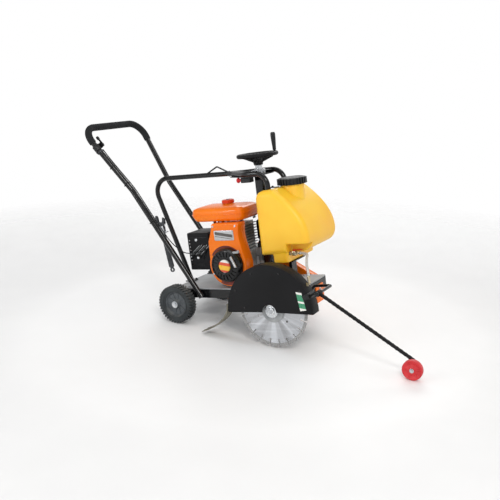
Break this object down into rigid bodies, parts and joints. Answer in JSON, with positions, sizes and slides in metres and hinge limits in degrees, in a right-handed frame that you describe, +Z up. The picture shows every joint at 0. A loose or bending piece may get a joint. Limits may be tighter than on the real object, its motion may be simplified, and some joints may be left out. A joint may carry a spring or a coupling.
{
  "type": "walk-behind concrete cut-off saw",
  "caption": "Walk-behind concrete saw with engine, belt-driven guarded diamond blade, water tank, depth handwheel and pilot wheel.",
  "frame": {"origin": "on the floor under the middle of the bounding box", "axes": "+X is the direction of travel, +Y is the operator's left, +Z is up"},
  "size_m": [1.889, 0.564, 0.9681],
  "materials": {
    "black_gloss": "gloss black powder coat",
    "black_matt": "matt black powder coat",
    "black_plastic": "moulded black plastic",
    "foam": "closed-cell foam grip",
    "tyre_rubber": "semi-matt rubber",
    "flap_rubber": "dusty rubber sheet",
    "deck_grey": "grey enamel",
    "rim_grey": "grey-black moulding",
    "steel": "brushed steel",
    "zinc": "zinc plate",
    "dark_steel": "dark phosphated steel",
    "aluminium": "cast aluminium",
    "orange": "gloss orange enamel",
    "red_orange": "red-orange plastic",
    "yellow": "blow-moulded polyethylene",
    "red": "red moulded plastic",
    "brass": "machined brass",
    "clear_hose": "clear PVC hose"
  },
  "bodies": {
    "chassis": {"chassis_frame": "black_gloss", "deck_plate": "deck_grey", "rear_axle": "zinc", "handlebar": "black_gloss", "handlebar_grip": "foam", "throttle_clamp": "black_plastic", "throttle_cable": "black_plastic", "hoop_frame": "black_gloss", "control_plate": "black_gloss", "switch_box": "black_plastic", "mast": "black_gloss", "screw_clamp": "steel", "bearing_right": "dark_steel", "bearing_left": "dark_steel", "v_belts": "tyre_rubber", "belt_guard": "orange", "blade_guard": "black_matt", "water_inlet": "brass", "splash_flap": "flap_rubber", "water_tank": "yellow", "tank_bracket": "black_gloss", "water_tap": "brass", "water_hose": "clear_hose", "crankcase": "aluminium", "cylinder": "aluminium", "fan_shroud": "orange", "recoil_cover": "black_matt", "fuel_tank": "orange", "muffler_guard": "black_matt", "muffler": "dark_steel", "air_cleaner": "black_plastic", "carburettor": "aluminium", "front_handle": "black_gloss"},
    "rear_wheel_right": {"rear_tyre_right": "tyre_rubber", "rear_rim_right": "rim_grey"},
    "rear_wheel_left": {"rear_tyre_left": "tyre_rubber", "rear_rim_left": "rim_grey"},
    "depth_arm": {"front_arm": "black_gloss"},
    "caster_right": {"front_wheel_right": "tyre_rubber"},
    "caster_left": {"front_wheel_left": "tyre_rubber"},
    "lifter": {"lift_rod": "zinc"},
    "depth_wheel": {"handwheel": "black_matt", "depth_screw": "zinc"},
    "crank_grip": {"handwheel_grip": "black_plastic"},
    "arbor": {"arbor_shaft": "steel", "outer_flange": "steel", "arbor_nut": "zinc", "saw_blade": "steel", "driven_pulley": "dark_steel"},
    "engine_shaft": {"drive_pulley": "dark_steel"},
    "throttle": {"throttle_lever": "black_plastic"},
    "pilot": {"pilot_arm": "black_gloss"},
    "pilot_roller": {"pilot_wheel": "red"},
    "tap_handle": {"tap_lever": "red_orange"},
    "water_cap": {"tank_cap": "black_plastic"},
    "filler_cap": {"fuel_cap": "red_orange"},
    "stop_switch": {"stop_button": "red"},
    "starter_pull": {"recoil_handle": "zinc"},
    "wrench": {"wrench_body": "dark_steel"},
    "wrench_slide": {"wrench_jaw": "dark_steel"}
  },
  "joints": [
    {"name": "rear_wheel_right_spin", "type": "hinge", "parent": "chassis", "child": "rear_wheel_right", "pos_m": [-0.34558, -0.19, 0.09741], "axis": [0, 1, 0], "continuous": true},
    {"name": "rear_wheel_left_spin", "type": "hinge", "parent": "chassis", "child": "rear_wheel_left", "pos_m": [-0.34558, 0.25, 0.09741], "axis": [0, 1, 0], "continuous": true},
    {"name": "depth_arm_swing", "type": "hinge", "parent": "chassis", "child": "depth_arm", "pos_m": [-0.05837, 0.03, 0.13784], "axis": [0, -1, 0], "range_deg": [0, 30]},
    {"name": "caster_right_spin", "type": "hinge", "parent": "depth_arm", "child": "caster_right", "pos_m": [0.11764, -0.062, 0.04938], "axis": [0, 1, 0], "continuous": true},
    {"name": "caster_left_spin", "type": "hinge", "parent": "depth_arm", "child": "caster_left", "pos_m": [0.11764, 0.122, 0.04938], "axis": [0, 1, 0], "continuous": true},
    {"name": "lift_rod_slide", "type": "slide", "parent": "chassis", "child": "lifter", "axis": [-0.1564, 0, 0.9877], "range_m": [0, 0.084]},
    {"name": "handwheel_turn", "type": "hinge", "parent": "chassis", "child": "depth_wheel", "pos_m": [-0.01737, 0.03, 0.83787], "axis": [-0.1564, 0, 0.9877], "range_deg": [0, 3772]},
    {"name": "crank_grip_spin", "type": "hinge", "parent": "depth_wheel", "child": "crank_grip", "pos_m": [0.05043, 0.06222, 0.91948], "axis": [-0.1564, 0, 0.9877], "continuous": true},
    {"name": "arbor_spin", "type": "hinge", "parent": "chassis", "child": "arbor", "pos_m": [0.22972, 0.03, 0.18549], "axis": [0, 1, 0], "continuous": true},
    {"name": "engine_spin", "type": "hinge", "parent": "chassis", "child": "engine_shaft", "pos_m": [-0.09225, 0.21, 0.31978], "axis": [0, 1, 0], "continuous": true},
    {"name": "throttle_lever_turn", "type": "hinge", "parent": "chassis", "child": "throttle", "pos_m": [-0.82863, -0.16158, 0.8688], "axis": [-0.0795, 0.9818, 0.1726], "range_deg": [0, 60]},
    {"name": "pilot_arm_swing", "type": "hinge", "parent": "chassis", "child": "pilot", "pos_m": [0.45446, -0.242, 0.30715], "axis": [0, -1, 0], "range_deg": [0, 120]},
    {"name": "pilot_wheel_spin", "type": "hinge", "parent": "pilot", "child": "pilot_roller", "pos_m": [0.90001, -0.242, 0.04461], "axis": [0, 1, 0], "continuous": true},
    {"name": "tap_lever_turn", "type": "hinge", "parent": "chassis", "child": "tap_handle", "pos_m": [0.25897, -0.104, 0.4483], "axis": [-0.1564, 0, 0.9877], "range_deg": [-90, 0]},
    {"name": "tank_cap_lift", "type": "slide", "parent": "chassis", "child": "water_cap", "axis": [-0.1564, 0, 0.9877], "range_m": [0, 0.06]},
    {"name": "fuel_cap_lift", "type": "slide", "parent": "chassis", "child": "filler_cap", "axis": [-0.1564, 0, 0.9877], "range_m": [0, 0.06]},
    {"name": "stop_button_press", "type": "slide", "parent": "chassis", "child": "stop_switch", "axis": [0.9877, 0, 0.1564], "range_m": [0, 0.005], "stiffness_N_per_m": 600, "springref_m": -0.002},
    {"name": "recoil_pull", "type": "slide", "parent": "chassis", "child": "starter_pull", "axis": [0, -1, 0], "range_m": [0, 0.5], "stiffness_N_per_m": 40, "springref_m": -0.05},
    {"name": "wrench_lift", "type": "slide", "parent": "chassis", "child": "wrench", "axis": [-0.2924, 0, 0.9563], "range_m": [0, 0.12]},
    {"name": "wrench_jaw_slide", "type": "slide", "parent": "wrench", "child": "wrench_slide", "axis": [0.9861, 0, -0.1662], "range_m": [0, 0.012]}
  ],
  "couplings": [
    {"joint": "lift_rod_slide", "follows": "depth_arm_swing", "m_per_rad": 0.16},
    {"joint": "handwheel_turn", "follows": "depth_arm_swing", "ratio": 125.66},
    {"joint": "engine_spin", "follows": "arbor_spin", "ratio": 1.1053}
  ]
}
